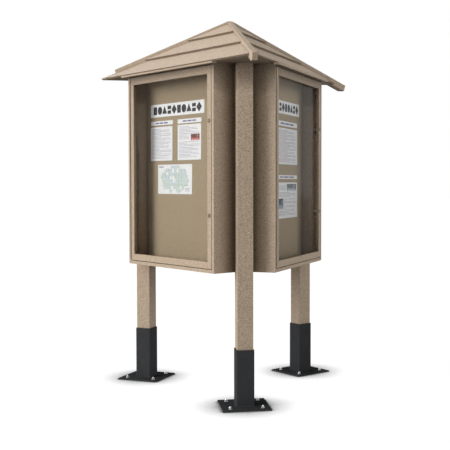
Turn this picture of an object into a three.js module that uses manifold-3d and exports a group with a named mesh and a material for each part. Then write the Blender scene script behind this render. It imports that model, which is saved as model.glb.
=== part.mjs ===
// A free-standing notice board kiosk with three lockable display cabinets.
// The cabinets stand back to back round a triangle, a square post stands in each notch between
// two of them, and a hip roof of lapped boards covers all three.
// Millimetres, +Z up. The origin is on the ground under the middle of the whole object.
import * as THREE from "three";
import { mergeVertices } from "three/addons/utils/BufferGeometryUtils.js";
import Module from "manifold-3d";

const wasm = await Module();
wasm.setup();

// Clearances
const seatGap = 0.3; // between two pieces that touch
const runningGap = 0.4; // between a turning piece and its bore
const overrunLength = 5; // how far a cutting solid runs past what it cuts

// Cabinets
const cabinetWidth = 872;
const cabinetDepth = 152;
const frontDistance = 446; // kiosk axis to a cabinet's front plane
const undersideHeight = 734; // ground to the cabinets' underside
const panelThickness = 19.5;
const displayDepth = 126; // front plane to the face of the tack panel

// Doors
const doorGap = 3.5; // round the door, inside its cabinet
const doorThickness = 19;
const stileWidth = 36;
const topRailWidth = 44.5;
const bottomRailWidth = 38;
const paneThickness = 3;
const paneLapWidth = 8; // how far the pane runs behind the frame

// Continuous hinges
const hingeBarrelRadius = 3.5;
const hingePinRadius = 1.5;
const leafThickness = 1;
const leafDepth = 16;
const hingeEndInset = 6; // from the door's top and bottom to the hinge's ends
const knuckleCount = 15;
const barrelSides = 12;

// Cam locks
const lockSpacing = 514;
const lockHeadRadius = 8;
const lockHeadHeight = 2;
const lockShaftRadius = 6;
const keySlotWidth = 1.6;
const keySlotLength = 8;
const keySlotDepth = 0.8;
const camWidth = 12;
const camLength = 29; // lock axis to the cam's tip
const camThickness = 3;
const camSetbackDepth = 11; // back of the door to the cam
const mortiseDepth = 11;
const mortiseClearance = 1.5;
const lockSides = 16;

// Posts and their steel shoes
const postSide = 89;
const postEdgeRadius = 3;
const shoeWall = 4;
const shoeFitGap = 1.5; // between the post and the shoe's wall
const shoeCornerRadius = 6;
const shoeTopHeight = 316;
const basePlateSide = 264;
const basePlateThickness = 8;
const anchorSpacing = 178;
const anchorHoleRadius = 7;
const anchorHoleSides = 12;

// Soffit, and the drip cap that it carries over each cabinet
const soffitHeight = 1875; // ground to the soffit's underside
const soffitThickness = 12;
const capDistance = 479; // kiosk axis to the cap's front edge
const capWidth = 930;
const capThickness = 10.5; // soffit's underside down to the cap's underside
const capBackDepth = 45; // a cabinet's front plane back to the end of the cap over its door

// Roof
const eaveDistance = 438; // kiosk axis to the lowest board's lower front edge
const eaveRise = 4; // soffit's underside up to that edge
const courseSpacing = 147.5; // plan distance from one course to the next
const courseLapLength = 30; // how far a board runs under the one above
const courseCount = 3;
const roofPitchShare = 0.711; // rise of the courses for each unit of run
const boardThickness = 12.4;
const rafterWidth = 28;
const rafterDepth = 50.5;
const rafterProudHeight = 10; // rafter's top above the line of the boards' lower edges, at the apex
const rafterTailDrop = 34; // soffit's underside down to the level cut under a rafter's tail

// How far each corner's rafter and soffit reach from the kiosk axis.
// The corner at the left has its rafter and soffit cut short.
const corners = {
  front: { turnDegrees: 0, rafterReach: 964, soffitReach: 840 },
  right: { turnDegrees: 120, rafterReach: 964, soffitReach: 840 },
  left: { turnDegrees: -120, rafterReach: 782, soffitReach: 640 },
};
const sides = {
  left: { turnDegrees: -60, hingeCorner: "left", lockCorner: "front" },
  right: { turnDegrees: 60, hingeCorner: "front", lockCorner: "right" },
  rear: { turnDegrees: 180, hingeCorner: "right", lockCorner: "left" },
};

// A kiosk side spans a third of a turn, so its corners lie at a sixth of a turn from its middle.
const sixthTurn = Math.PI / 3;
const sinSixth = Math.sin(sixthTurn);
const cosSixth = Math.cos(sixthTurn);
const cornerShare = Math.tan(sixthTurn); // half length of a side for each unit of its distance

// Derived sizes
const halfWidth = cabinetWidth / 2;
const innerHalfWidth = halfWidth - panelThickness;
const doorHalfWidth = innerHalfWidth - doorGap;
const windowHalfWidth = doorHalfWidth - stileWidth;
const cabinetTop = soffitHeight - seatGap;
const capHeight = soffitHeight - capThickness; // ground to the cap's underside
const doorBottom = undersideHeight + panelThickness + doorGap;
const doorTop = capHeight - doorGap;
const windowBottom = doorBottom + bottomRailWidth;
const windowTop = doorTop - topRailWidth;
const paneDepth = doorThickness + seatGap;
const hingeAxisX = -(doorHalfWidth + innerHalfWidth) / 2;
const hingeAxisDepth = -(hingeBarrelRadius + seatGap);
const lockX = windowHalfWidth + stileWidth / 2;
const lockMiddleHeight = (windowBottom + windowTop) / 2;
const lockHeights = {
  upper: lockMiddleHeight + lockSpacing / 2,
  lower: lockMiddleHeight - lockSpacing / 2,
};
const camDepth = doorThickness + camSetbackDepth;
const shoeOuterSide = postSide + 2 * (shoeFitGap + shoeWall);
const soffitTop = soffitHeight + soffitThickness;
const rafterTailHeight = soffitHeight - rafterTailDrop;
const eaveHeight = soffitHeight + eaveRise;
const rafterTopHeight = eaveHeight + roofPitchShare * eaveDistance + rafterProudHeight; // at the axis
const soffitReachMost = Math.max(...Object.values(corners).map((corner) => corner.soffitReach));
const rafterReachMost = Math.max(...Object.values(corners).map((corner) => corner.rafterReach));
// A rafter that isn't cut short has its top come down to the height of the eaves at its end.
const rafterPitchShare = (rafterTopHeight - eaveHeight) / rafterReachMost;
const rafterAngle = Math.atan(rafterPitchShare);
const rafterDrop = rafterDepth / Math.cos(rafterAngle); // rafter's depth measured plumb

// A post's rounded inner edges seat against the outer faces of the two cabinets beside it.
const postStraight = postSide / 2 - postEdgeRadius;
const postEdgeReach = postStraight * (sinSixth + cosSixth) + postEdgeRadius;
const postDistance = (halfWidth + seatGap + postEdgeReach) / sinSixth;

// The boards' tilt lets each one pass just under the lower edge of the next course.
const courseRise = roofPitchShare * courseSpacing - seatGap;
const boardTilt =
  Math.atan2(courseRise, courseSpacing) - Math.asin(boardThickness / Math.hypot(courseRise, courseSpacing));

// The lowest boards rest on the top edge of the soffit.
const soffitDistance = eaveDistance - (soffitTop + seatGap - eaveHeight) / Math.tan(boardTilt);

// Materials
const finish = (color, roughness, metalness) =>
  new THREE.MeshStandardMaterial({ color, roughness, metalness });
const lumber = finish(0xc8b69d, 0.8, 0);
const tackFace = finish(0x9c8d70, 0.95, 0);
const blackSteel = finish(0x343638, 0.55, 0.4);
const brightSteel = finish(0xb9bbbd, 0.35, 0.9);
const coatedSteel = finish(0xb3a48c, 0.5, 0.2);
const clearSheet = new THREE.MeshStandardMaterial({
  color: 0xe4ecec,
  roughness: 0.05,
  metalness: 0,
  transparent: true,
  opacity: 0.2,
});

// Solid modelling helpers

function solidOf(geometry) {
  const bare = geometry.clone();
  bare.deleteAttribute("normal");
  bare.deleteAttribute("uv");
  const merged = mergeVertices(bare);
  return new wasm.Manifold(
    new wasm.Mesh({
      numProp: 3,
      vertProperties: merged.attributes.position.array,
      triVerts: new Uint32Array(merged.index.array),
    }),
  );
}

function geometryOf(solid) {
  const mesh = solid.getMesh();
  const geometry = new THREE.BufferGeometry();
  geometry.setAttribute("position", new THREE.BufferAttribute(mesh.vertProperties, 3));
  geometry.setIndex(new THREE.BufferAttribute(mesh.triVerts, 1));
  return geometry;
}

const cut = (geometry, ...tools) =>
  geometryOf(tools.reduce((left, tool) => left.subtract(solidOf(tool)), solidOf(geometry)));
const join = (first, ...others) =>
  geometryOf(others.reduce((sum, other) => sum.add(solidOf(other)), solidOf(first)));
const common = (first, second) => geometryOf(solidOf(first).intersect(solidOf(second)));

// A block between two values on each axis.
function block([x0, x1], [y0, y1], [z0, z1]) {
  const geometry = new THREE.BoxGeometry(x1 - x0, y1 - y0, z1 - z0);
  return geometry.translate((x0 + x1) / 2, (y0 + y1) / 2, (z0 + z1) / 2);
}

// A block of a cabinet, whose depths run back from the front plane.
const cabinetBlock = (xs, [near, far], zs) =>
  block(xs, [near - frontDistance, far - frontDistance], zs);

const shapeOf = (points) => new THREE.Shape(points.map(([x, y]) => new THREE.Vector2(x, y)));

// A plan outline raised between two heights.
function raised(shape, [z0, z1], curveSegments = 1) {
  const geometry = new THREE.ExtrudeGeometry(shape, { depth: z1 - z0, bevelEnabled: false, curveSegments });
  return geometry.translate(0, 0, z0);
}

// A profile drawn in Y and Z, swept along X to both sides of the middle.
function sweptAcross(points, length) {
  const geometry = new THREE.ExtrudeGeometry(shapeOf(points), { depth: length, bevelEnabled: false });
  geometry.translate(0, 0, -length / 2);
  const turned = new THREE.Matrix4().makeBasis(
    new THREE.Vector3(0, 1, 0),
    new THREE.Vector3(0, 0, 1),
    new THREE.Vector3(1, 0, 0),
  );
  return geometry.applyMatrix4(turned);
}

// A square with rounded corners about the origin.
function roundedSquare(path, side, radius) {
  const straight = side / 2 - radius;
  path.absarc(straight, straight, radius, 0, Math.PI / 2);
  path.absarc(-straight, straight, radius, Math.PI / 2, Math.PI);
  path.absarc(-straight, -straight, radius, Math.PI, 1.5 * Math.PI);
  path.absarc(straight, -straight, radius, 1.5 * Math.PI, 2 * Math.PI);
  path.closePath();
  return path;
}

function named(name, geometry, material) {
  const mesh = new THREE.Mesh(geometry, material);
  mesh.name = name;
  return mesh;
}

// The space over one side, inside the two vertical planes through its corners.
const sectorTop = rafterTopHeight + overrunLength;
const sectorBottom = capHeight - overrunLength;
const sectorDistance = capDistance + overrunLength;

function sector(gap) {
  const alongGap = gap / cosSixth;
  const half = sectorDistance * cornerShare - alongGap;
  return raised(
    shapeOf([
      [0, -alongGap / cornerShare],
      [-half, -sectorDistance],
      [half, -sectorDistance],
    ]),
    [sectorBottom, sectorTop],
  );
}

// The slot that a corner's rafter takes out of whatever it passes through.
function rafterSlot(turn, from, to) {
  const half = rafterWidth / 2 + seatGap;
  return block([-half, half], [-to, -from], [sectorBottom, sectorTop]).rotateZ(turn);
}

// Posts and shoes

function post() {
  const section = roundedSquare(new THREE.Shape(), postSide, postEdgeRadius);
  return raised(section, [basePlateThickness + seatGap, soffitHeight - seatGap], 2);
}

function shoe() {
  const half = basePlateSide / 2;
  const plate = shapeOf([
    [-half, -half],
    [half, -half],
    [half, half],
    [-half, half],
  ]);
  for (const x of [-anchorSpacing / 2, anchorSpacing / 2]) {
    for (const y of [-anchorSpacing / 2, anchorSpacing / 2]) {
      plate.holes.push(new THREE.Path().absarc(x, y, anchorHoleRadius, 0, 2 * Math.PI));
    }
  }
  const tube = roundedSquare(new THREE.Shape(), shoeOuterSide, shoeCornerRadius);
  const bore = roundedSquare(new THREE.Path(), shoeOuterSide - 2 * shoeWall, shoeCornerRadius - shoeWall);
  tube.holes.push(bore);
  return join(
    raised(plate, [0, basePlateThickness], anchorHoleSides / 2),
    raised(tube, [basePlateThickness / 2, shoeTopHeight], 2),
  );
}

// Roof

const rafterTopAt = (distance) => rafterTopHeight - rafterPitchShare * distance;

function rafter(reach) {
  const endDistance = reach - rafterDepth * Math.sin(rafterAngle);
  const endHeight = rafterTopAt(reach) - rafterDepth * Math.cos(rafterAngle);
  const blank = sweptAcross(
    [
      [0, rafterTopAt(0)],
      [-reach, rafterTopAt(reach)],
      [-endDistance, endHeight],
      [0, rafterTopAt(0) - rafterDrop],
    ],
    rafterWidth,
  );
  // The three rafters meet at the apex in planes a sixth of a turn either side of each one.
  const spread = reach * cornerShare;
  const wedge = raised(
    shapeOf([
      [0, -seatGap],
      [-spread, -reach - overrunLength],
      [spread, -reach - overrunLength],
    ]),
    [rafterTailHeight, sectorTop],
  );
  return common(blank, wedge);
}

function roofBoard(course, side) {
  const distance = eaveDistance - course * courseSpacing;
  const height = eaveHeight + roofPitchShare * course * courseSpacing;
  const upperDistance = Math.max(distance - courseSpacing - courseLapLength, 0);
  const rise = (distance - upperDistance) * Math.tan(boardTilt);
  const thicknessOut = boardThickness * Math.sin(boardTilt);
  const thicknessUp = boardThickness * Math.cos(boardTilt);
  const blank = sweptAcross(
    [
      [-distance, height],
      [-distance - thicknessOut, height + thicknessUp],
      [-upperDistance - thicknessOut, height + thicknessUp + rise],
      [-upperDistance, height + rise],
    ],
    2 * sectorDistance * cornerShare,
  );
  const mitred = common(blank, sector(seatGap / 2));
  return cut(
    mitred,
    rafterSlot(-sixthTurn, -overrunLength, corners[side.hingeCorner].rafterReach + seatGap),
    rafterSlot(sixthTurn, -overrunLength, corners[side.lockCorner].rafterReach + seatGap),
  );
}

// The cap's nose passes in front of the whole cabinet. Behind it the cap narrows to fit between the
// cabinet's side panels over the door, and rises into the soffit.
function dripCap() {
  const noseDepth = frontDistance - capDistance;
  const soffitDepth = frontDistance - soffitDistance;
  const fitHalf = innerHalfWidth - seatGap;
  const capHeights = [capHeight, soffitHeight];
  return [
    cabinetBlock([-capWidth / 2, capWidth / 2], [noseDepth, -seatGap], capHeights),
    cabinetBlock([-fitHalf, fitHalf], [noseDepth, capBackDepth], capHeights),
    cabinetBlock([-fitHalf, fitHalf], [soffitDepth, capBackDepth], [capHeight, soffitTop]),
  ];
}

function soffit(side) {
  const reaches = [
    [-1, corners[side.hingeCorner].soffitReach],
    [1, corners[side.lockCorner].soffitReach],
  ];
  const [leftEdge, rightEdge] = reaches.map(([hand, reach]) => [
    [hand * reach * sinSixth, -reach * cosSixth],
    [(hand * (reach - soffitDistance * cosSixth)) / sinSixth, -soffitDistance],
  ]);
  const outline = [[0, 0], ...leftEdge, ...rightEdge.reverse()];
  const panel = common(raised(shapeOf(outline), [soffitHeight, soffitTop]), sector(seatGap / 2));
  const withCap = join(panel, ...dripCap());
  // A rafter's underside comes down to the soffit's top at this distance, and a slot lets it through.
  const slotStart = (rafterTopHeight - rafterDrop - soffitTop - seatGap) / rafterPitchShare - seatGap;
  return cut(
    withCap,
    rafterSlot(-sixthTurn, slotStart, soffitReachMost + overrunLength),
    rafterSlot(sixthTurn, slotStart, soffitReachMost + overrunLength),
  );
}

// Cabinets

function lockSidePanel() {
  const panel = cabinetBlock([innerHalfWidth, halfWidth], [0, cabinetDepth], [undersideHeight, cabinetTop]);
  const mortises = Object.values(lockHeights).map((height) =>
    cabinetBlock(
      [innerHalfWidth - overrunLength, innerHalfWidth + mortiseDepth],
      [camDepth - mortiseClearance, camDepth + camThickness + mortiseClearance],
      [height - camLength + camWidth / 4, height + camWidth / 2 + mortiseClearance],
    ),
  );
  return cut(panel, ...mortises);
}

function lockStile() {
  const stile = cabinetBlock([windowHalfWidth, doorHalfWidth], [0, doorThickness], [doorBottom, doorTop]);
  const boreRadius = lockShaftRadius + runningGap;
  const boreLength = doorThickness + 2 * overrunLength;
  const bores = Object.values(lockHeights).map((height) => {
    const bore = new THREE.CylinderGeometry(boreRadius, boreRadius, boreLength, lockSides);
    return bore.translate(lockX, doorThickness / 2 - frontDistance, height);
  });
  return cut(stile, ...bores);
}

// The turning part of a cam lock: a round head, a shaft through the stile, and a flat cam behind it.
// It is drawn about its own axis with the door's face at Y zero, and its cam hangs down when unlocked.
function camLock() {
  const headThickness = lockHeadHeight - seatGap;
  const head = new THREE.CylinderGeometry(lockHeadRadius, lockHeadRadius, headThickness, lockSides);
  head.translate(0, headThickness / 2 - lockHeadHeight, 0);
  const shaftLength = camDepth + camThickness + lockHeadHeight / 2;
  const shaft = new THREE.CylinderGeometry(lockShaftRadius, lockShaftRadius, shaftLength, lockSides);
  shaft.translate(0, camDepth + camThickness - shaftLength / 2, 0);
  const slotHalf = keySlotWidth / 2;
  const slot = block(
    [-slotHalf, slotHalf],
    [-lockHeadHeight - overrunLength, keySlotDepth - lockHeadHeight],
    [-keySlotLength / 2, keySlotLength / 2],
  );
  const tipHeight = camWidth / 2 - camLength;
  const outline = new THREE.Shape();
  outline.absarc(0, 0, camWidth / 2, 0, Math.PI);
  outline.absarc(0, tipHeight, camWidth / 2, Math.PI, 2 * Math.PI);
  outline.closePath();
  const cam = new THREE.ExtrudeGeometry(outline, {
    depth: camThickness,
    bevelEnabled: false,
    curveSegments: 6,
  });
  cam.rotateX(Math.PI / 2).translate(0, camDepth + camThickness, 0);
  return cut(join(shaft, head, cam), slot);
}

// One half of a continuous hinge. The fixed half holds the pin and the odd knuckles, and the door's
// half turns round the pin on the even ones.
function hingeHalf(isFixed) {
  const bottom = doorBottom + hingeEndInset;
  const pitch = (doorTop - doorBottom - 2 * hingeEndInset) / knuckleCount;
  const top = bottom + pitch * knuckleCount;
  const outer = isFixed ? -innerHalfWidth + seatGap : -doorHalfWidth - seatGap;
  const inner = isFixed ? outer + leafThickness : outer - leafThickness;
  const leafXs = [Math.min(outer, inner), Math.max(outer, inner)];
  const pieces = [cabinetBlock(leafXs, [seatGap, leafDepth], [bottom, top])];
  const axisY = hingeAxisDepth - frontDistance;
  const upright = (radius, [z0, z1]) =>
    new THREE.CylinderGeometry(radius, radius, z1 - z0, barrelSides)
      .rotateX(Math.PI / 2)
      .translate(hingeAxisX, axisY, (z0 + z1) / 2);
  for (let index = 0; index < knuckleCount; index += 1) {
    const isOwn = (index % 2 === 0) === isFixed;
    if (!isOwn) continue;
    const zs = [bottom + index * pitch + runningGap / 2, bottom + (index + 1) * pitch - runningGap / 2];
    pieces.push(upright(hingeBarrelRadius, zs));
    pieces.push(cabinetBlock(leafXs, [hingeAxisDepth, leafDepth / 2], zs));
  }
  if (isFixed) {
    pieces.push(upright(hingePinRadius, [bottom + runningGap, top - runningGap]));
    return join(...pieces);
  }
  const bore = upright(hingePinRadius + runningGap, [bottom - overrunLength, top + overrunLength]);
  return cut(join(...pieces), bore);
}

function cabinet(name) {
  const group = new THREE.Group();
  const add = (part, geometry, material = lumber) => group.add(named(`${name}_${part}`, geometry, material));
  const fitHalf = innerHalfWidth - seatGap;
  const floorTop = undersideHeight + panelThickness;
  const shellHeights = [undersideHeight, cabinetTop];

  add("side_hinge", cabinetBlock([-halfWidth, -innerHalfWidth], [0, cabinetDepth], shellHeights));
  add("side_lock", lockSidePanel());
  add("floor_panel", cabinetBlock([-fitHalf, fitHalf], [0, cabinetDepth], [undersideHeight, floorTop]));
  add(
    "tack_panel",
    cabinetBlock([-fitHalf, fitHalf], [displayDepth, cabinetDepth], [floorTop + seatGap, cabinetTop]),
    tackFace,
  );

  const railHalf = windowHalfWidth - seatGap;
  const frameDepths = [0, doorThickness];
  add("stile_hinge", cabinetBlock([-doorHalfWidth, -windowHalfWidth], frameDepths, [doorBottom, doorTop]));
  add("stile_lock", lockStile());
  add("rail_top", cabinetBlock([-railHalf, railHalf], frameDepths, [windowTop, doorTop]));
  add("rail_bottom", cabinetBlock([-railHalf, railHalf], frameDepths, [doorBottom, windowBottom]));
  const paneHalf = windowHalfWidth + paneLapWidth;
  add(
    "pane",
    cabinetBlock(
      [-paneHalf, paneHalf],
      [paneDepth, paneDepth + paneThickness],
      [windowBottom - paneLapWidth, windowTop + paneLapWidth],
    ),
    clearSheet,
  );
  add("hinge_fixed", hingeHalf(true), coatedSteel);
  add("hinge_door", hingeHalf(false), coatedSteel);
  for (const [place, height] of Object.entries(lockHeights)) {
    const lock = named(`${name}_lock_${place}`, camLock(), brightSteel);
    lock.position.set(lockX, -frontDistance, height);
    group.add(lock);
  }
  return group;
}

// Assembly
const kiosk = new THREE.Group();

for (const [name, side] of Object.entries(sides)) {
  const group = new THREE.Group();
  group.rotation.z = THREE.MathUtils.degToRad(side.turnDegrees);
  group.add(cabinet(name));
  group.add(named(`${name}_soffit`, soffit(side), lumber));
  for (let course = 0; course < courseCount; course += 1) {
    group.add(named(`${name}_roof_board_${course + 1}`, roofBoard(course, side), lumber));
  }
  kiosk.add(group);
}

for (const [name, corner] of Object.entries(corners)) {
  const group = new THREE.Group();
  group.rotation.z = THREE.MathUtils.degToRad(corner.turnDegrees);
  group.add(named(`${name}_hip_rafter`, rafter(corner.rafterReach), lumber));
  const upright = new THREE.Group();
  upright.position.y = -postDistance;
  upright.add(named(`${name}_post`, post(), lumber));
  upright.add(named(`${name}_shoe`, shoe(), blackSteel));
  group.add(upright);
  kiosk.add(group);
}

// The kiosk's axis isn't the middle of its outline, so the whole is moved over the origin.
const part = new THREE.Group();
part.add(kiosk);
const extent = new THREE.Box3().setFromObject(kiosk, true);
kiosk.position.set(-(extent.min.x + extent.max.x) / 2, -(extent.min.y + extent.max.y) / 2, -extent.min.z);

export default part;
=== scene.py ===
"""Looks for a three-sided notice board kiosk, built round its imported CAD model.

Lengths in the tables and in the shape helpers are in millimetres. A point of a cabinet is written
as (x, depth, z): x to the right as seen from outside, depth back from its front plane, z upwards.
A profile is a list of (radius, height) pairs for lathe to turn round its axis. Lengths in the
materials are in metres.
"""

import math
import random

import bmesh
import bpy
from mathutils import Matrix, Vector


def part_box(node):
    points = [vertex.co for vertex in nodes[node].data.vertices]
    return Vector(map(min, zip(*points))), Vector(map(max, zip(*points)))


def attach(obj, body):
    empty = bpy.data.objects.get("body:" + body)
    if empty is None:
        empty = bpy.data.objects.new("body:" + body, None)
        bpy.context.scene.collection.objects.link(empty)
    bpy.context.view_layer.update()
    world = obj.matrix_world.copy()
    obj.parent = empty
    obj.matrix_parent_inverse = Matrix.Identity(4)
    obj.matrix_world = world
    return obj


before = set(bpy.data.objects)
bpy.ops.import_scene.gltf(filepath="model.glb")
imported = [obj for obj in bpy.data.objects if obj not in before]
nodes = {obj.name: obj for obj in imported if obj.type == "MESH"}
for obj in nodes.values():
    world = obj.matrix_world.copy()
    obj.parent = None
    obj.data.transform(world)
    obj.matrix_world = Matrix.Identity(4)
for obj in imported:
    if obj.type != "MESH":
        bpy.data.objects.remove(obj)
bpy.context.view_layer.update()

MM = 0.001
CABINETS = {"left": -60, "right": 60, "rear": 180}
CORNERS = {"front": 0, "right": 120, "left": -120}
LOCKS = ("upper", "lower")

# Sizes shared with the CAD model
FRONT_DISTANCE = 446
DISPLAY_DEPTH = 126
DOOR_THICKNESS = 19
DOOR_HALF_WIDTH = 413
DOOR_BOTTOM = 757
DOOR_TOP = 1861
INNER_HALF_WIDTH = 416.5
WINDOW_BOTTOM = 795
WINDOW_TOP = 1816.5
PANE_HALF_WIDTH = 385
PANE_BACK = 22.3
LOCK_X = 395
CAM_DEPTH = 30
CAM_THICKNESS = 3
LOCK_HEAD_RADIUS = 8
SHOE_SIDE = 100
SHOE_CORNER_RADIUS = 6
PLATE_THICKNESS = 8
ANCHOR_SPACING = 178


def middle(name):
    """The centre of a node's box, in metres."""
    low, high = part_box(name)
    return (low + high) / 2


# The kiosk's axis stands at the centre of its three posts.
axis = sum((middle(f"{corner}_post") for corner in CORNERS), Vector()) / len(CORNERS)
axis.z = 0


def turned(degrees):
    """The place of a cabinet turned by degrees round the kiosk's axis."""
    return Matrix.Translation(axis) @ Matrix.Rotation(math.radians(degrees), 4, "Z")


def cabinet_point(x, depth, z):
    """A point of a cabinet, counted from the kiosk's axis."""
    return Vector((x, depth - FRONT_DISTANCE, z))


# Camera

SENSOR_WIDTH = 36
FOCAL_LENGTH = 72.82
SHIFT_X, SHIFT_Y = -0.1053, -0.0155
FROM_AXIS = Vector((-0.7222, -5.4867, 1.2233))
DOWNWARD, SIDEWAYS = 2.18, -10.15

camera_data = bpy.data.cameras.new("camera")
camera_data.sensor_width = SENSOR_WIDTH
camera_data.lens = FOCAL_LENGTH
camera_data.shift_x = SHIFT_X
camera_data.shift_y = SHIFT_Y
camera = bpy.data.objects.new("camera", camera_data)
camera.location = axis + FROM_AXIS
camera.rotation_euler = (math.radians(90 - DOWNWARD), 0, math.radians(SIDEWAYS))
bpy.context.scene.collection.objects.link(camera)
bpy.context.scene.camera = camera
bpy.context.scene.view_settings.view_transform = "Standard"


# Materials

# Shade by openness: the reach, the openness where it starts and where it is full, and its share there
JOINT_SHADE = (0.06, 0.9, 0.3, 0.9)
CORNER_SHADE = (0.14, 0.75, 0.2, 0.32)
EAVES_SHADE = (0.17, 0.40, 0.08, 0.68)
# Shade on undersides: how far up the surface looks where it starts and where it is full, and its share
UNDERSIDE_SHADE = (-0.3, -0.45, 0.75)
SHADE_TINT = (0.22, 0.205, 0.195)


class Graph:
    """The nodes of a material or of the world, added one by one and linked by name."""

    def __init__(self, owner, output="ShaderNodeOutputMaterial"):
        owner.use_nodes = True
        self.owner = owner
        self.tree = owner.node_tree
        self.tree.nodes.clear()
        self.output = self.add(output)

    def add(self, kind, inputs=None, **settings):
        node = self.tree.nodes.new(kind)
        for key, value in settings.items():
            setattr(node, key, value)
        for key, value in (inputs or {}).items():
            if isinstance(value, bpy.types.NodeSocket):
                self.tree.links.new(value, node.inputs[key])
            else:
                node.inputs[key].default_value = value
        return node

    def surface(self, shader):
        self.tree.links.new(shader.outputs[0], self.output.inputs["Surface"])
        return self.owner

    def principled(self, inputs):
        return self.surface(self.add("ShaderNodeBsdfPrincipled", inputs))

    def coordinates(self):
        return self.add("ShaderNodeTexCoord").outputs["Object"]

    def noise(self, where, scale, detail=2.0, roughness=0.5):
        return self.add(
            "ShaderNodeTexNoise",
            {"Vector": where, "Scale": scale, "Detail": detail, "Roughness": roughness},
        ).outputs["Fac"]

    def ramp(self, value, low, high, from_value=0.0, to_value=1.0):
        return self.add(
            "ShaderNodeMapRange",
            {"Value": value, "From Min": low, "From Max": high, "To Min": from_value, "To Max": to_value},
        ).outputs["Result"]

    def math(self, operation, first, second):
        return self.add("ShaderNodeMath", {0: first, 1: second}, operation=operation).outputs[0]

    def mix(self, share, first, second, blend="MIX"):
        """Mixes two colours, each given as a socket or as three numbers."""
        first, second = (c if isinstance(c, bpy.types.NodeSocket) else (*c, 1) for c in (first, second))
        inputs = {0: share, 6: first, 7: second}
        return self.add("ShaderNodeMix", inputs, data_type="RGBA", blend_type=blend).outputs[2]

    def layered(self, colour, *layers):
        """Lays tints over a colour, each with a share that grows as its pattern runs from start to full."""
        for pattern, start, full, share, tint in layers:
            colour = self.mix(self.ramp(pattern, start, full, to_value=share), colour, tint)
        return colour

    def openness(self, reach, samples=8, towards=None):
        """How open a point is within reach, about its own normal or about another direction."""
        inputs = {"Distance": reach}
        if towards is not None:
            inputs["Normal"] = towards
        return self.add("ShaderNodeAmbientOcclusion", inputs, samples=samples).outputs["AO"]

    def painted_shade(self, colour):
        """Paints shade into a colour: darker in joints and corners, on undersides and under eaves."""
        reach, start, full, share = JOINT_SHADE
        shades = [self.ramp(self.openness(reach), start, full, to_value=share)]
        normal = self.add("ShaderNodeTexCoord").outputs["Normal"]
        upward = self.add("ShaderNodeSeparateXYZ", {0: normal}).outputs["Z"]
        start, full, share = UNDERSIDE_SHADE
        shades.append(self.ramp(upward, start, full, to_value=share))
        reach, start, full, share = CORNER_SHADE
        shades.append(self.ramp(self.openness(reach), start, full, to_value=share))
        reach, start, full, share = EAVES_SHADE
        up = self.add("ShaderNodeCombineXYZ", {"Z": 1.0}).outputs[0]
        shades.append(self.ramp(self.openness(reach, 16, up), start, full, to_value=share))
        deepest = shades[0]
        for shade in shades[1:]:
            deepest = self.math("MAXIMUM", deepest, shade)
        return self.mix(deepest, colour, SHADE_TINT, "MULTIPLY")

    def bump(self, height, strength, distance):
        return self.add(
            "ShaderNodeBump", {"Height": height, "Strength": strength, "Distance": distance}
        ).outputs["Normal"]


def material_graph(name):
    return Graph(bpy.data.materials.new(name))


LUMBER_BASE = (0.52, 0.405, 0.295)
LUMBER_DARK = (0.26, 0.18, 0.115)
LUMBER_LIGHT = (0.80, 0.67, 0.52)

CORK_BASE = (0.44, 0.352, 0.242)
CORK_BROAD = (0.38, 0.30, 0.203)
CORK_FLAKE_DARK = (0.25, 0.19, 0.125)
CORK_FLAKE_LIGHT = (0.60, 0.50, 0.37)
CORK_GRAIN_DARK = (0.22, 0.165, 0.105)
CORK_GRAIN_LIGHT = (0.58, 0.49, 0.36)


def speckled(graph):
    """Tan plastic with dark and light flecks of a few millimetres: its colour and its fleck pattern."""
    where = graph.coordinates()
    fine = graph.noise(where, scale=310, detail=3, roughness=0.65)
    coarse = graph.noise(where, scale=150, detail=2, roughness=0.55)
    broad = graph.noise(where, scale=7, detail=3)
    faded = [0.9 * c for c in LUMBER_BASE]
    colour = graph.layered(
        LUMBER_BASE,
        (broad, 0.3, 0.7, 0.15, faded),
        (fine, 0.49, 0.37, 0.8, LUMBER_DARK),
        (coarse, 0.45, 0.33, 0.45, LUMBER_DARK),
        (fine, 0.54, 0.65, 0.8, LUMBER_LIGHT),
        (coarse, 0.56, 0.68, 0.35, LUMBER_LIGHT),
    )
    return colour, fine


def lumber_material():
    graph = material_graph("lumber")
    colour, fleck = speckled(graph)
    # Painted shade: the colour darkens in joints, corners, on undersides and under eaves, from ambient
    # occlusion and the normal.
    colour = graph.painted_shade(colour)
    grain = graph.noise(graph.coordinates(), scale=900, detail=3, roughness=0.7)
    height = graph.math("ADD", graph.math("MULTIPLY", fleck, 0.6), grain)
    return graph.principled(
        {
            "Base Color": colour,
            "Roughness": graph.ramp(fleck, 0.3, 0.7, 0.72, 0.56),
            "Specular IOR Level": 0.35,
            "Normal": graph.bump(height, strength=0.35, distance=0.0006),
        }
    )


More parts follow.
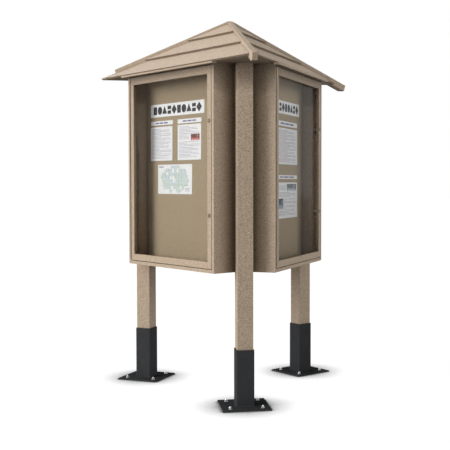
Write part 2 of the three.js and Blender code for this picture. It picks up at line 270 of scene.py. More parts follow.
def tack_material(name, degrees):
    """The tack face's cork on the panel's front, and lumber on its other faces."""
    graph = material_graph(name)
    lumber, _ = speckled(graph)
    where = graph.coordinates()
    fine = graph.noise(where, scale=420, detail=2, roughness=0.7)
    soft = graph.noise(where, scale=95, detail=3, roughness=0.6)
    flake = graph.noise(where, scale=190, detail=2, roughness=0.6)
    cork = graph.layered(
        CORK_BASE,
        (soft, 0.35, 0.65, 0.35, CORK_BROAD),
        (flake, 0.46, 0.34, 0.4, CORK_FLAKE_DARK),
        (flake, 0.54, 0.66, 0.4, CORK_FLAKE_LIGHT),
        (fine, 0.48, 0.34, 0.7, CORK_GRAIN_DARK),
        (fine, 0.55, 0.68, 0.55, CORK_GRAIN_LIGHT),
    )
    normal = graph.add("ShaderNodeTexCoord").outputs["Normal"]
    outward = Matrix.Rotation(math.radians(degrees), 3, "Z") @ OUTWARD
    facing = graph.add(
        "ShaderNodeVectorMath", {0: normal, 1: tuple(outward)}, operation="DOT_PRODUCT"
    ).outputs["Value"]
    front = graph.ramp(facing, 0.5, 0.9)
    return graph.principled(
        {
            "Base Color": graph.mix(front, lumber, cork),
            "Roughness": graph.ramp(fine, 0.3, 0.7, 0.95, 0.8),
            "Specular IOR Level": 0.2,
            "Normal": graph.bump(graph.math("ADD", fine, soft), strength=0.5, distance=0.0007),
        }
    )


def pane_material():
    """A clear sheet: what is behind it shows, and it takes a faint sheen where it is seen aslant."""
    graph = material_graph("pane")
    haze = graph.noise(graph.coordinates(), scale=14, detail=3, roughness=0.6)
    clear = graph.add("ShaderNodeBsdfTransparent", {"Color": (0.965, 0.965, 0.96, 1)})
    sheen = graph.add(
        "ShaderNodeBsdfGlossy",
        {"Color": (0.9, 0.92, 0.93, 1), "Roughness": graph.ramp(haze, 0.3, 0.7, 0.05, 0.12)},
    )
    facing = graph.add("ShaderNodeLayerWeight", {"Blend": 0.5}).outputs["Facing"]
    sharpness, strongest = 4.0, 0.12
    share = graph.math("MULTIPLY", graph.math("POWER", facing, sharpness), strongest)
    mixed = graph.add("ShaderNodeMixShader", {0: share, 1: clear.outputs[0], 2: sheen.outputs[0]})
    return graph.surface(mixed)


def metal_material(name, colour, roughness, metallic, grain_scale=900, grain_depth=0.00025, gloss=0.5):
    """Metal or coated metal with a fine grain, paler where it is worn."""
    graph = material_graph(name)
    where = graph.coordinates()
    grain = graph.noise(where, grain_scale, detail=3, roughness=0.6)
    wear = graph.noise(where, scale=22, detail=4, roughness=0.6)
    worn = [min(1, 1.25 * c) for c in colour]
    spread = 0.07
    return graph.principled(
        {
            "Base Color": graph.layered(colour, (wear, 0.35, 0.75, 0.5, worn)),
            "Metallic": metallic,
            "Specular IOR Level": gloss,
            "Roughness": graph.ramp(grain, 0.3, 0.7, roughness - spread, roughness + spread),
            "Normal": graph.bump(grain, strength=0.3, distance=grain_depth),
        }
    )


def paper_material():
    graph = material_graph("paper")
    where = graph.coordinates()
    fibre = graph.noise(where, scale=1400, detail=3, roughness=0.7)
    cloud = graph.noise(where, scale=18)
    return graph.principled(
        {
            "Base Color": graph.layered((0.93, 0.94, 0.955), (cloud, 0.3, 0.7, 1, (0.88, 0.895, 0.92))),
            "Roughness": graph.ramp(fibre, 0.3, 0.7, 0.55, 0.7),
            "Normal": graph.bump(fibre, strength=0.15, distance=0.0001),
        }
    )


def ink_material(name, colour):
    """An ink, a little paler in patches."""
    graph = material_graph(name)
    spread = graph.noise(graph.coordinates(), scale=700, detail=2, roughness=0.6)
    grey, grey_share = 0.85, 0.04
    pale = [(1 - grey_share) * c + grey_share * grey for c in colour]
    return graph.principled(
        {
            "Base Color": graph.layered(colour, (spread, 0.5, 0.72, 0.8, pale)),
            "Roughness": graph.ramp(spread, 0.3, 0.7, 0.5, 0.62),
        }
    )


OUTWARD = Vector((0, -1, 0))
INWARD = Vector((0, 1, 0))

LUMBER = lumber_material()
PANE = pane_material()
COATED_STEEL = metal_material("coated_steel", (0.051, 0.053, 0.056), 0.7, 0.0, 1100, 0.0003, 0.0)
ZINC = metal_material("zinc_plate", (0.70, 0.71, 0.72), 0.32, 1.0)
LOCK_STEEL = metal_material("lock_steel", (0.22, 0.17, 0.105), 0.45, 0.5)
BRONZE = metal_material("lock_bronze", (0.17, 0.125, 0.08), 0.45, 0.5)
HINGE_STEEL = metal_material("hinge_finish", (0.50, 0.42, 0.33), 0.45, 0.0, 1200, 0.0002)
PAPER = paper_material()
TACK = {name: tack_material(f"tack_{name}", degrees) for name, degrees in CABINETS.items()}
INK_COLOURS = {
    "black": (0.022, 0.022, 0.026),
    "text": (0.38, 0.37, 0.47),
    "violet": (0.20, 0.17, 0.33),
    "maroon": (0.16, 0.055, 0.045),
    "red": (0.55, 0.12, 0.09),
    "rose": (0.68, 0.36, 0.32),
    "navy": (0.035, 0.075, 0.13),
    "sky": (0.25, 0.42, 0.52),
    "slate": (0.17, 0.19, 0.22),
    "ash": (0.40, 0.42, 0.44),
    "mint": (0.60, 0.73, 0.66),
    "ice": (0.60, 0.70, 0.75),
    "line": (0.48, 0.55, 0.56),
}
INKS = {name: ink_material(f"ink_{name}", colour) for name, colour in INK_COLOURS.items()}
INK_ORDER = list(INKS)


# Mesh helpers


def piece(name, bm, place, materials, body):
    """Makes an object from millimetre mesh code, set in its place and riding on a body."""
    bmesh.ops.recalc_face_normals(bm, faces=bm.faces)
    mesh = bpy.data.meshes.new(name)
    bm.to_mesh(mesh)
    bm.free()
    mesh.transform(place @ Matrix.Scale(MM, 4))
    for material in materials if isinstance(materials, list) else [materials]:
        mesh.materials.append(material)
    made = bpy.data.objects.new(name, mesh)
    bpy.context.scene.collection.objects.link(made)
    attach(made, body)
    return made


def lathe(bm, profile, place, segments, closed=False):
    """Turns a profile round the Z axis of place. A closed one joins its last point to its first."""
    rings = []
    for radius, height in profile:
        if radius == 0:
            rings.append([bm.verts.new(place @ Vector((0, 0, height)))])
            continue
        ring = []
        for step in range(segments):
            angle = 2 * math.pi * step / segments
            spot = Vector((radius * math.cos(angle), radius * math.sin(angle), height))
            ring.append(bm.verts.new(place @ spot))
        rings.append(ring)
    pairs = list(zip(rings, rings[1:]))
    if closed:
        pairs.append((rings[-1], rings[0]))
    for low, high in pairs:
        for step in range(segments):
            after = (step + 1) % segments
            if len(low) == 1:
                bm.faces.new((low[0], high[after], high[step]))
            elif len(high) == 1:
                bm.faces.new((low[step], low[after], high[0]))
            else:
                bm.faces.new((low[step], low[after], high[after], high[step]))


def thread(root, crest, start, rise, pitch, turns):
    """Profile points of a thread that starts at a height, with each crest a rise above its root."""
    points = []
    for turn in range(turns):
        points += [(root, start + turn * pitch), (crest, start + rise + turn * pitch)]
    return points


def along(origin, direction):
    """A place whose Z axis points along direction."""
    return Matrix.Translation(origin) @ Vector(direction).to_track_quat("Z", "Y").to_matrix().to_4x4()


def socket_screw(bm, place, radius, height):
    """A domed screw head with a round drive recess."""
    sunk = -0.2
    drive = 0.4 * radius
    lathe(
        bm,
        [
            (0, sunk),
            (radius, sunk),
            (radius, 0.3 * height),
            (0.93 * radius, 0.65 * height),
            (0.72 * radius, 0.92 * height),
            (1.15 * drive, height),
            (drive, 0.9 * height),
            (0.9 * drive, 0.45 * height),
            (0, 0.4 * height),
        ],
        place,
        20,
    )


# CAD nodes

WELD_DISTANCE = 1e-5
SHARPEST_LEFT = 30
PANE_EASE = 0.5
SHOE_EASE = 0.8
LOCK_EASE = 0.4
POST_EASE = 1.0
BOARD_EASE = 0.9


def eased(node, width, segments=2):
    """Eases a CAD node's arrises."""
    weld = node.modifiers.new("weld", "WELD")
    weld.merge_threshold = WELD_DISTANCE
    bevel = node.modifiers.new("ease", "BEVEL")
    bevel.width = width * MM
    bevel.segments = segments
    bevel.limit_method = "ANGLE"
    bevel.angle_limit = math.radians(SHARPEST_LEFT)


def dress(node, material):
    """Gives a CAD node one material all over."""
    if not node.data.materials:
        node.data.materials.append(material)
    for slot in node.material_slots:
        slot.material = material


for name, node in nodes.items():
    side = name.split("_")[0]
    if name.endswith("_tack_panel"):
        dress(node, TACK[side])
    elif name.endswith("_pane"):
        dress(node, PANE)
        eased(node, PANE_EASE)
    elif name.endswith("_shoe"):
        dress(node, COATED_STEEL)
        eased(node, SHOE_EASE)
    elif "_hinge_fixed" in name or "_hinge_door" in name:
        dress(node, HINGE_STEEL)
    elif "_lock_" in name:
        dress(node, LOCK_STEEL)
        eased(node, LOCK_EASE)
    elif name.endswith("_post"):
        dress(node, LUMBER)
        eased(node, POST_EASE, segments=1)
    else:
        dress(node, LUMBER)
        eased(node, BOARD_EASE)


# Shoes

BEAD_LEG = 5.0
BEAD_INSIDE, BEAD_BELOW = -0.5, -0.4
BEAD_STEPS_ALONG = 34
BEAD_STEPS_ROUND = 6
ANCHOR_WASHER = [(5.4, 0), (10, 0), (10, 1.2), (9.4, 1.7), (5.4, 1.7)]
ANCHOR_NUT = [(4.0, 1.7), (7.6, 1.7), (8.2, 2.3), (8.2, 8.2), (7.0, 9.2), (4.6, 9.4), (4.0, 9.0)]
ANCHOR_STUD = [(0, 0.5), (4.3, 0.5)]
ANCHOR_STUD += thread(root=4.3, crest=4.75, start=1.2, rise=0.6, pitch=1.2, turns=10)
ANCHOR_STUD += [(4.3, 13.2), (3.2, 14.2), (0, 14.2)]


def weld_bead(bm):
    """A rippled fillet round the foot of the sleeve."""
    half = SHOE_SIDE / 2
    straight = half - SHOE_CORNER_RADIUS
    path = []
    for turn in range(4):
        heading = turn * math.pi / 2
        side_start = Vector((half, -straight))
        for step in range(BEAD_STEPS_ALONG):
            point = side_start + Vector((0, 2 * straight * step / BEAD_STEPS_ALONG))
            path.append((point, Vector((1, 0)), heading))
        for step in range(BEAD_STEPS_ROUND):
            angle = math.pi / 2 * step / BEAD_STEPS_ROUND
            out = Vector((math.cos(angle), math.sin(angle)))
            path.append((Vector((straight, straight)) + SHOE_CORNER_RADIUS * out, out, heading))
    rings = []
    for index, (point, out, heading) in enumerate(path):
        spin = Matrix.Rotation(heading, 2)
        point, out = spin @ point, spin @ out
        leg = BEAD_LEG * (1 + 0.09 * math.sin(index * 2.1) + 0.05 * math.sin(index * 0.77))
        section = (
            (BEAD_INSIDE, BEAD_BELOW),
            (leg, BEAD_BELOW),
            (0.86 * leg, 0.3 * leg),
            (0.36 * leg, 0.8 * leg),
            (BEAD_INSIDE, leg),
        )
        ring = []
        for across, up in section:
            at = point + out * across
            ring.append(bm.verts.new((at.x, at.y, PLATE_THICKNESS + up)))
        rings.append(ring)
    for ring, after in zip(rings, rings[1:] + rings[:1]):
        for index in range(len(ring)):
            following = (index + 1) % len(ring)
            bm.faces.new((ring[index], ring[following], after[following], after[index]))


def anchor_bolt(bm, x, y):
    """A washer, a nut and the end of a threaded stud on the base plate."""
    place = Matrix.Translation((x, y, PLATE_THICKNESS))
    lathe(bm, ANCHOR_WASHER, place, 28, closed=True)
    lathe(bm, ANCHOR_NUT, place, 6, closed=True)
    lathe(bm, ANCHOR_STUD, place, 20)


for corner, degrees in CORNERS.items():
    centre = middle(f"{corner}_shoe")
    place = Matrix.Translation((centre.x, centre.y, 0)) @ Matrix.Rotation(math.radians(degrees), 4, "Z")
    bm = bmesh.new()
    weld_bead(bm)
    piece(f"{corner}_weld_bead", bm, place, COATED_STEEL, "kiosk")
    bm = bmesh.new()
    reach = ANCHOR_SPACING / 2
    for x in (-reach, reach):
        for y in (-reach, reach):
            anchor_bolt(bm, x, y)
    piece(f"{corner}_anchor_bolts", bm, place, ZINC, "kiosk")


# Doors

LOCK_COLLAR = [(8.4, 0.05), (11.2, 0.05), (11.4, 0.7), (10.9, 1.6), (9.6, 2.2), (8.6, 2.1), (8.4, 1.8)]
NUT_CORNER = 9.0 / math.cos(math.pi / 6)
LOCK_NUT = [(6.5, 0.1), (NUT_CORNER - 0.6, 0.1), (NUT_CORNER, 0.7)]
LOCK_NUT += [(NUT_CORNER, 4.2), (NUT_CORNER - 0.7, 4.8), (6.5, 4.8)]
LOCK_BARREL = [(6.4, 0.1), (7.7, 0.1)]
LOCK_BARREL += thread(root=7.7, crest=8.1, start=5.0, rise=0.4, pitch=0.85, turns=6)
LOCK_BARREL += [(7.7, 10.4), (6.4, 10.4)]
CAM_WASHER = [(0, -0.2), (6.6, -0.2), (6.6, 0.9), (6.2, 1.2), (0, 1.2)]
CAM_NUT = [(0, 1), (4.9, 1), (5.3, 1.5), (5.3, 4.0), (4.7, 4.6), (0, 4.6)]

CLIP_HEIGHTS = (820, 1010, 1200, 1410, 1610, 1790)
CLIP_OFFSETS = (-300, -100, 100, 300)
CLIP_FROM_PANE_EDGE = 6.5
CLIP_FROM_WINDOW = 14.5
CLIP_SPACER_RADII = (2.4, 4.6)
CLIP_WASHER = [(2.2, 0.1), (8.6, 0.1), (8.6, 0.9), (8.2, 1.2), (2.2, 1.2)]
CLIP_SCREW_LIFT = 1.3
CLIP_SCREW_RADIUS = 4.2
CLIP_SCREW_HEIGHT = 2.4

LEAF_THICKNESS = 1.3
HINGE_SCREWS = 8
HINGE_SCREW_DEPTH = 10.5
HINGE_SCREW_END = 55
HINGE_SCREW = [(0, -0.3), (3.2, -0.3), (3.2, 0.08), (2.9, 0.2), (1.1, 0.2), (1.0, -0.1), (0, -0.15)]


def lock_fittings(name, which, degrees):
    """The collar and the nut that hold a lock in its door, and the nut that holds its cam."""
    lock_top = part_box(f"{name}_lock_{which}")[1].z / MM
    height = lock_top - LOCK_HEAD_RADIUS
    place = turned(degrees)
    bm = bmesh.new()
    front = along(cabinet_point(LOCK_X, 0, height), OUTWARD)
    lathe(bm, LOCK_COLLAR, front, 40, closed=True)
    piece(f"{name}_{which}_lock_collar", bm, place, BRONZE, f"{name}_door")
    bm = bmesh.new()
    back = along(cabinet_point(LOCK_X, DOOR_THICKNESS, height), INWARD)
    lathe(bm, LOCK_NUT, back, 6, closed=True)
    lathe(bm, LOCK_BARREL, back, 28, closed=True)
    piece(f"{name}_{which}_lock_nut", bm, place, ZINC, f"{name}_door")
    bm = bmesh.new()
    behind = CAM_DEPTH + CAM_THICKNESS
    tip = along(cabinet_point(LOCK_X, behind, height), INWARD)
    lathe(bm, CAM_WASHER, tip, 28)
    lathe(bm, CAM_NUT, tip, 6)
    piece(f"{name}_{which}_cam_nut", bm, place, ZINC, f"{name}_{which}_lock")


def pane_clips(name, degrees):
    """Screws with washers that hold the pane's edge to the back of the door frame."""
    bm = bmesh.new()
    spots = []
    edge_x = PANE_HALF_WIDTH + CLIP_FROM_PANE_EDGE
    for z in CLIP_HEIGHTS:
        spots += [(-edge_x, z), (edge_x, z)]
    for x in CLIP_OFFSETS:
        spots += [(x, WINDOW_BOTTOM - CLIP_FROM_WINDOW), (x, WINDOW_TOP + CLIP_FROM_WINDOW)]
    low, high = DOOR_THICKNESS - PANE_BACK + 0.1, 0.1
    bore, rim = CLIP_SPACER_RADII
    spacer = [(bore, low), (rim, low), (rim, high), (bore, high)]
    for x, z in spots:
        place = along(cabinet_point(x, PANE_BACK, z), INWARD)
        lathe(bm, spacer, place, 20, closed=True)
        lathe(bm, CLIP_WASHER, place, 28, closed=True)
        seat = along(cabinet_point(x, PANE_BACK + CLIP_SCREW_LIFT, z), INWARD)
        socket_screw(bm, seat, CLIP_SCREW_RADIUS, CLIP_SCREW_HEIGHT)
    piece(f"{name}_pane_clips", bm, turned(degrees), ZINC, f"{name}_door")


def hinge_screws(name, degrees):
    """Countersunk screws in both leaves, just proud of them in the gap beside the door."""
    first, last = DOOR_BOTTOM + HINGE_SCREW_END, DOOR_TOP - HINGE_SCREW_END
    for part, leaf_x, direction, body in (
        ("fixed", -INNER_HALF_WIDTH + LEAF_THICKNESS, (1, 0, 0), "kiosk"),
        ("door", -DOOR_HALF_WIDTH - LEAF_THICKNESS, (-1, 0, 0), f"{name}_door"),
    ):
        bm = bmesh.new()
        for step in range(HINGE_SCREWS):
            z = first + step * (last - first) / (HINGE_SCREWS - 1)
            lathe(bm, HINGE_SCREW, along(cabinet_point(leaf_x, HINGE_SCREW_DEPTH, z), direction), 20)
        piece(f"{name}_hinge_screws_{part}", bm, turned(degrees), ZINC, body)


# Notices

PAPER_THICKNESS = 0.3
PAPER_CLEARANCE = 0.35
MARK_HEIGHT = 0.12
MARK_BACK = PAPER_THICKNESS - 0.05
SLAB_STEP = 24
PIN = [(0, -0.1), (3.6, -0.1), (3.7, 0.3), (3.0, 1.1), (1.6, 1.6), (0, 1.75)]
PIN_INSET = 7


class Sheet:
    """A pinned sheet of paper whose lower corners have lifted a little, and the marks on it.

    A place on it is u across and v up from its lower left corner.
    """

    def __init__(self, x0, z0, x1, z1, lift, seed, prints):
        self.x0, self.z0, self.width, self.height = x0, z0, x1 - x0, z1 - z0
        self.lift = lift
        self.prints = prints
        self.chance = random.Random(seed)
        self.left, self.right = self.chance.uniform(0.3, 1), self.chance.uniform(0.3, 1)

    def at(self, u, v, out):
        """The point of a cabinet at a place on the sheet, out from the sheet's back."""
        across, up = u / self.width, v / self.height
        low = (1 - up) ** 3
        rise = low * (self.left * (1 - across) ** 2 + self.right * across**2)
        rise += 0.12 * math.sin(across * 7 + self.left * 5) * (1 - up) * up * 2
        depth = DISPLAY_DEPTH - PAPER_CLEARANCE - self.lift * max(rise, 0) - out
        return cabinet_point(self.x0 + u, depth, self.z0 + v)

    def slab(self, bm, u0, u1, v0, v1, back, front, index=0):
        """A thin closed plate that follows the sheet."""
        across = max(1, math.ceil((u1 - u0) / SLAB_STEP))
        up = max(1, math.ceil((v1 - v0) / SLAB_STEP))
        layers = []
        for out in (back, front):
            layer = []
            for j in range(up + 1):
                v = v0 + (v1 - v0) * j / up
                row = [self.at(u0 + (u1 - u0) * i / across, v, out) for i in range(across + 1)]
                layer.append([bm.verts.new(point) for point in row])
            layers.append(layer)
        faces = []
        for layer in layers:
            for j in range(up):
                for i in range(across):
                    faces.append((layer[j][i], layer[j][i + 1], layer[j + 1][i + 1], layer[j + 1][i]))
        low, high = layers
        for i in range(across):
            for j in (0, up):
                faces.append((low[j][i], low[j][i + 1], high[j][i + 1], high[j][i]))
        for j in range(up):
            for i in (0, across):
                faces.append((low[j][i], low[j + 1][i], high[j + 1][i], high[j][i]))
        for corners in faces:
            bm.faces.new(corners).material_index = index

    def mark(self, u0, u1, v0, v1, colour, layer=0):
        """A flat four-sided mark. A higher layer lies over a lower one."""
        front = PAPER_THICKNESS + MARK_HEIGHT * (layer + 1)
        self.slab(self.prints, u0, u1, v0, v1, MARK_BACK, front, INK_ORDER.index(colour))

    def emblem(self, points, colour, layer=0):
        """A flat many-sided mark."""
        front = PAPER_THICKNESS + MARK_HEIGHT * (layer + 1)
        low = [self.prints.verts.new(self.at(u, v, MARK_BACK)) for u, v in points]
        high = [self.prints.verts.new(self.at(u, v, front)) for u, v in points]
        sides = zip(low, low[1:] + low[:1], high[1:] + high[:1], high)
        for corners in (low, high, *sides):
            self.prints.faces.new(corners).material_index = INK_ORDER.index(colour)


def ring_of(u, v, radius, sides, phase=0.0, squash=1.0):
    """The corners of a regular figure, squashed across."""
    corners = []
    for i in range(sides):
        angle = phase + 2 * math.pi * i / sides
        corners.append((u + squash * radius * math.cos(angle), v + radius * math.sin(angle)))
    return corners


def banner(sheet):
    """A row of bold plain shapes along a wide sheet."""
    count = 10
    margin = 0.045 * sheet.width
    pitch = (sheet.width - 2 * margin) / count
    size = 0.31 * sheet.height
    bar, gap = 0.37 * pitch, 0.15 * size
    v = sheet.height / 2
    for i in range(count):
        u = margin + (i + 0.5) * pitch
        kind = i % 5
        if kind == 0:
            sheet.emblem(ring_of(u, v, size * 1.38, 4, math.pi / 4, 0.8), "black")
        elif kind == 1:
            sheet.emblem(ring_of(u, v, size, 28), "black")
        elif kind == 2:
            sheet.emblem(ring_of(u, v - 0.2 * size, size * 1.3, 3, math.pi / 2, 0.95), "black")
        elif kind == 3:
            sheet.mark(u - bar, u + bar, v - size, v - gap, "black")
            sheet.mark(u - bar, u + bar, v + gap, v + size, "black")
        else:
            sheet.emblem(ring_of(u, v, size * 1.2, 4, 0, 0.95), "black")


def strip(sheet):
    """Three short bars on a small heading strip."""
    v = sheet.height / 2
    height = 0.17 * sheet.height
    lengths = [sheet.chance.uniform(0.13, 0.26) * sheet.width for _ in range(3)]
    gap = 0.03 * sheet.width
    u = (sheet.width - sum(lengths) - 2 * gap) / 2
    for length in lengths:
        sheet.mark(u, u + length, v - height, v + height, "violet")
        u += length + gap


def overlap(one, other):
    """Whether two areas, each (u0, u1, v0, v1), overlap."""
    across = one[0] < other[1] and other[0] < one[1]
    return across and one[2] < other[3] and other[2] < one[3]


GROUP = 5
GROUP_GAP = 1.3
SHORTEST_WORD = 6
WORD_LENGTHS = (8, 34)
WORD_GAP = 3.5


def text_rows(sheet, area, pitch, weight, colours, keep_clear):
    """Rows of short bars set like words, in groups of five, of which the first is a ruled line."""
    u0, u1, v0, v = area
    row = 0
    while v - weight > v0:
        end = u1 if row % 3 else u0 + (u1 - u0) * sheet.chance.uniform(0.45, 0.75)
        end -= (u1 - u0) * sheet.chance.uniform(0, 0.12)
        ruled = row % GROUP == 0
        thickness = 0.7 * weight if ruled else weight
        colour = colours[0] if ruled else colours[1 + row % (len(colours) - 1)]
        u = u0
        while u < end - SHORTEST_WORD:
            length = end - u if ruled else min(sheet.chance.uniform(*WORD_LENGTHS), end - u)
            word = (u, u + length, v - thickness, v)
            if not any(overlap(word, other) for other in keep_clear):
                sheet.mark(*word, colour)
            u += length + WORD_GAP
        row += 1
        v -= pitch * (1 if row % GROUP else GROUP_GAP)


def picture(sheet, u0, u1, v0, v1, ground, far, near):
    """A small framed pattern of hills under a disc."""
    width, height = u1 - u0, v1 - v0

    def hill(place, left, right, rise, colour, layer):
        """A peak, cut off at the picture's edges. Its sizes are shares of the picture's."""
        u = u0 + width * place
        corners = [(u - left * width, v0), (u + right * width, v0), (u, v0 + height * rise)]
        sheet.emblem([(min(max(a, u0), u1), b) for a, b in corners], colour, layer)

    sheet.mark(u0, u1, v0, v1, ground)
    sheet.emblem(ring_of(u0 + 0.76 * width, v0 + 0.7 * height, 0.17 * height, 20), near, 1)
    for i in range(4):
        hill(0.08 + 0.27 * i, 0.22, 0.24, 0.62 - 0.1 * (i % 2), far, 1)
    for i in range(3):
        hill(0.22 + 0.29 * i, 0.2, 0.2, 0.34, near, 2)


PLOT_ROWS, PLOT_COLUMNS = 8, 14
PLOTS_LEFT_OUT = 0.12
PATH_HALF_WIDTH = 0.8
PLAN_DOTS = 46
DOT_HALF_WIDTH = 1.9


def plan_sheet(sheet):
    """A site plan: six-sided plots in an oval, plain paths, scattered dots and a key."""
    width, height = sheet.width, sheet.height
    size = height / 13
    for row in range(PLOT_ROWS):
        for column in range(PLOT_COLUMNS):
            u = 0.12 * width + column * size * 1.75 + (row % 2) * size * 0.87
            v = 0.10 * height + row * size * 1.5
            inside = ((u / width - 0.5) / 0.4) ** 2 + ((v / height - 0.5) / 0.42) ** 2 < 1.05
            if not inside or u > 0.92 * width or sheet.chance.random() < PLOTS_LEFT_OUT:
                continue
            colour = sheet.chance.choice(["mint", "mint", "mint", "ice"])
            sheet.emblem(ring_of(u, v, size * 0.9, 6, math.pi / 6), colour)
    for share in (0.28, 0.62):
        v = share * height
        sheet.mark(0.08 * width, 0.9 * width, v - PATH_HALF_WIDTH, v + PATH_HALF_WIDTH, "line", 1)
    for share in (0.34, 0.7):
        u = share * width
        sheet.mark(u - PATH_HALF_WIDTH, u + PATH_HALF_WIDTH, 0.1 * height, 0.9 * height, "line", 1)
    dot = DOT_HALF_WIDTH
    for _ in range(PLAN_DOTS):
        u, v = sheet.chance.uniform(0.14, 0.88) * width, sheet.chance.uniform(0.12, 0.88) * height
        sheet.mark(u - dot, u + dot, v - dot, v + dot, "slate", 2)
    for i in range(3):
        low, high = 0.10 + 0.04 * i, 0.115 + 0.04 * i
        sheet.mark(0.80 * width, 0.93 * width, low * height, high * height, "text", 1)
    sheet.mark(0.04 * width, 0.17 * width, 0.90 * height, 0.94 * height, "text")


# The pitch and weight of the rows of a page or a list, and their inks, the ruled line's first
STYLES = {
    "page": (7.6, 2.4, ("violet", "text")),
    "list": (6.4, 2.6, ("violet", "rose", "text", "text")),
}
PAGE_MARGIN = 12
CLEAR_ACROSS, CLEAR_UP = 5, 4


def page(sheet, kind, pictures):
    """Rows of text, kept clear of any framed pictures."""
    pitch, weight, colours = STYLES[kind]
    x, z = sheet.x0, sheet.z0
    framed = [(x0 - x, x1 - x, z0 - z, z1 - z) for x0, z0, x1, z1, *_ in pictures]
    clear = [(a - CLEAR_ACROSS, b + CLEAR_ACROSS, c - CLEAR_UP, d + CLEAR_UP) for a, b, c, d in framed]
    margin = 0.06 * sheet.width
    area = (margin, sheet.width - margin, PAGE_MARGIN, sheet.height - PAGE_MARGIN)
    text_rows(sheet, area, pitch, weight, colours, clear)
    for place, (*_, ground, far, near) in zip(framed, pictures):
        picture(sheet, *place, ground, far, near)


# Each notice has its kind, x and z of its lower left and upper right corners, and its pictures.
# Each picture has its corners in the same way, and its inks: ground, far and near.
NOTICES = {
    "left": [
        ("banner", -380, 1624, 178, 1701, []),
        ("strip", -378, 1575, -142, 1600, []),
        ("strip", -90, 1575, 149, 1600, []),
        ("page", -382, 1360, -146, 1565, []),
        ("page", -90, 1360, 146, 1567, [(45, 1472, 131, 1509, "maroon", "red", "rose")]),
        ("plan", -303, 1160, 56, 1336, []),
    ],
    "right": [
        ("banner", -195, 1640, 363, 1717, []),
        ("strip", -60, 1567, 320, 1597, []),
        ("list", -60, 1338, 322, 1555, []),
        ("strip", -60, 1250, 320, 1273, []),
        (
            "page",
            -60,
            1013,
            322,
            1229,
            [(125, 1177, 302, 1220, "slate", "ash", "ice"), (-22, 1071, 58, 1132, "navy", "sky", "ash")],
        ),
    ],
    "rear": [
        ("banner", -279, 1630, 279, 1707, []),
        ("strip", -300, 1578, -60, 1603, []),
        ("strip", 60, 1578, 300, 1603, []),
        ("page", -300, 1340, -60, 1566, [(-286, 1352, -190, 1400, "slate", "ash", "ice")]),
        ("plan", 20, 1376, 340, 1566, []),
        ("page", -120, 1090, 120, 1310, []),
    ],
}
LIFTS = {"banner": 0.8, "strip": 0.3, "page": 2.2, "list": 2.2, "plan": 1.8}
PLAIN_KINDS = {"banner": banner, "strip": strip, "plan": plan_sheet}


def notices(name, degrees):
    """A cabinet's papers, the print on them and their pins."""
    papers, prints, pins = bmesh.new(), bmesh.new(), bmesh.new()
    for index, (kind, x0, z0, x1, z1, pictures) in enumerate(NOTICES[name]):
        sheet = Sheet(x0, z0, x1, z1, LIFTS[kind], f"{name}{index}", prints)
        sheet.slab(papers, 0, sheet.width, 0, sheet.height, 0, PAPER_THICKNESS)
        if kind in PLAIN_KINDS:
            PLAIN_KINDS[kind](sheet)
        else:
            page(sheet, kind, pictures)
        for u in (PIN_INSET, sheet.width - PIN_INSET):
            place = along(sheet.at(u, sheet.height - PIN_INSET, PAPER_THICKNESS), OUTWARD)
            lathe(pins, PIN, place, 18)
    place = turned(degrees)
    piece(f"{name}_notice_papers", papers, place, PAPER, "kiosk")
    piece(f"{name}_notice_prints", prints, place, list(INKS.values()), "kiosk")
    piece(f"{name}_notice_pins", pins, place, ZINC, "kiosk")


for name, degrees in CABINETS.items():
    for which in LOCKS:
        lock_fittings(name, which, degrees)
    pane_clips(name, degrees)
    hinge_screws(name, degrees)
    notices(name, degrees)


# Floor and light

FLOOR_REACH = 60
FLOOR_SHADE_REACH = 0.25
WORLD_STRENGTH = 0.03
BACKDROP_STRENGTH = 1.0
WHITE = (1, 1, 1, 1)


def stage_plane(name, corners, material):
    mesh = bpy.data.meshes.new(name)
    mesh.from_pydata(corners, [], [range(len(corners))])
    mesh.materials.append(material)
    made = bpy.data.objects.new(name, mesh)
    bpy.context.scene.collection.objects.link(made)


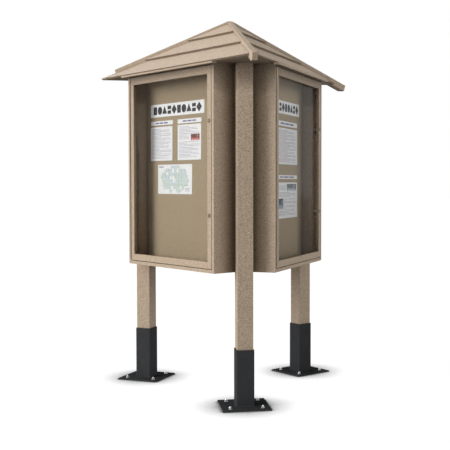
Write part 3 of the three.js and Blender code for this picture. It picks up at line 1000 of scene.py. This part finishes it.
def floor_material():
    """Pale to every ray. The camera sees its shadows laid lightly on white, and a painted shade near what
    stands on it.
    """
    graph = material_graph("floor")
    path = graph.add("ShaderNodeLightPath").outputs
    seen = graph.math("MAXIMUM", path["Is Camera Ray"], path["Is Transmission Ray"])
    matt = graph.add("ShaderNodeBsdfDiffuse", {"Color": (0.70, 0.70, 0.70, 1)})
    faint = graph.add("ShaderNodeBsdfDiffuse", {"Color": (0.12, 0.12, 0.12, 1)})
    # Painted shade: the white glow dims where ambient occlusion finds something near.
    strength = graph.ramp(graph.openness(FLOOR_SHADE_REACH, 16), 0.82, 1.0, 0.15, 0.97)
    glow = graph.add("ShaderNodeEmission", {"Color": WHITE, "Strength": strength})
    white = graph.add("ShaderNodeAddShader", {0: faint.outputs[0], 1: glow.outputs[0]})
    mixed = graph.add("ShaderNodeMixShader", {0: seen, 1: matt.outputs[0], 2: white.outputs[0]})
    return graph.surface(mixed)


def studio_world():
    """White where it is seen, also in gloss and through panes, and nearly dark as a light."""
    graph = Graph(bpy.data.worlds.new("studio"), "ShaderNodeOutputWorld")
    path = graph.add("ShaderNodeLightPath").outputs
    beyond = graph.math("MAXIMUM", path["Is Glossy Ray"], path["Is Transmission Ray"])
    shown = graph.math("MAXIMUM", path["Is Camera Ray"], beyond)
    lit = graph.add("ShaderNodeBackground", {"Color": WHITE, "Strength": WORLD_STRENGTH})
    white = graph.add("ShaderNodeBackground", {"Color": WHITE, "Strength": BACKDROP_STRENGTH})
    mixed = graph.add("ShaderNodeMixShader", {0: shown, 1: lit.outputs[0], 2: white.outputs[0]})
    return graph.surface(mixed)


def sun(name, azimuth, elevation, strength, angle, colour):
    """A distant soft lamp. Its azimuth counts from the front of the kiosk towards the right."""
    data = bpy.data.lights.new(name, "SUN")
    data.energy = strength
    data.color = colour
    data.angle = math.radians(angle)
    made = bpy.data.objects.new(name, data)
    around, up = math.radians(azimuth), math.radians(elevation)
    towards = Vector((math.sin(around) * math.cos(up), -math.cos(around) * math.cos(up), math.sin(up)))
    made.rotation_euler = towards.to_track_quat("Z", "Y").to_euler()
    bpy.context.scene.collection.objects.link(made)


stage_plane(
    "floor",
    [(x * FLOOR_REACH, y * FLOOR_REACH, 0) for x, y in ((-1, -1), (1, -1), (1, 1), (-1, 1))],
    floor_material(),
)
bpy.context.scene.world = studio_world()

WARM = (1.0, 0.982, 0.968)
PLAIN = (1.0, 1.0, 1.0)
for name, azimuth, elevation, strength, angle, colour in (
    ("key", -75, 42, 0.80, 12, WARM),
    ("low", -77, 10, 2.25, 42, WARM),
    ("rear", -150, 35, 0.85, 30, WARM),
    ("front", -42, 6, 0.45, 80, PLAIN),
    ("right", 64, 2, 1.76, 60, PLAIN),
):
    sun(name, azimuth, elevation, strength, angle, colour)
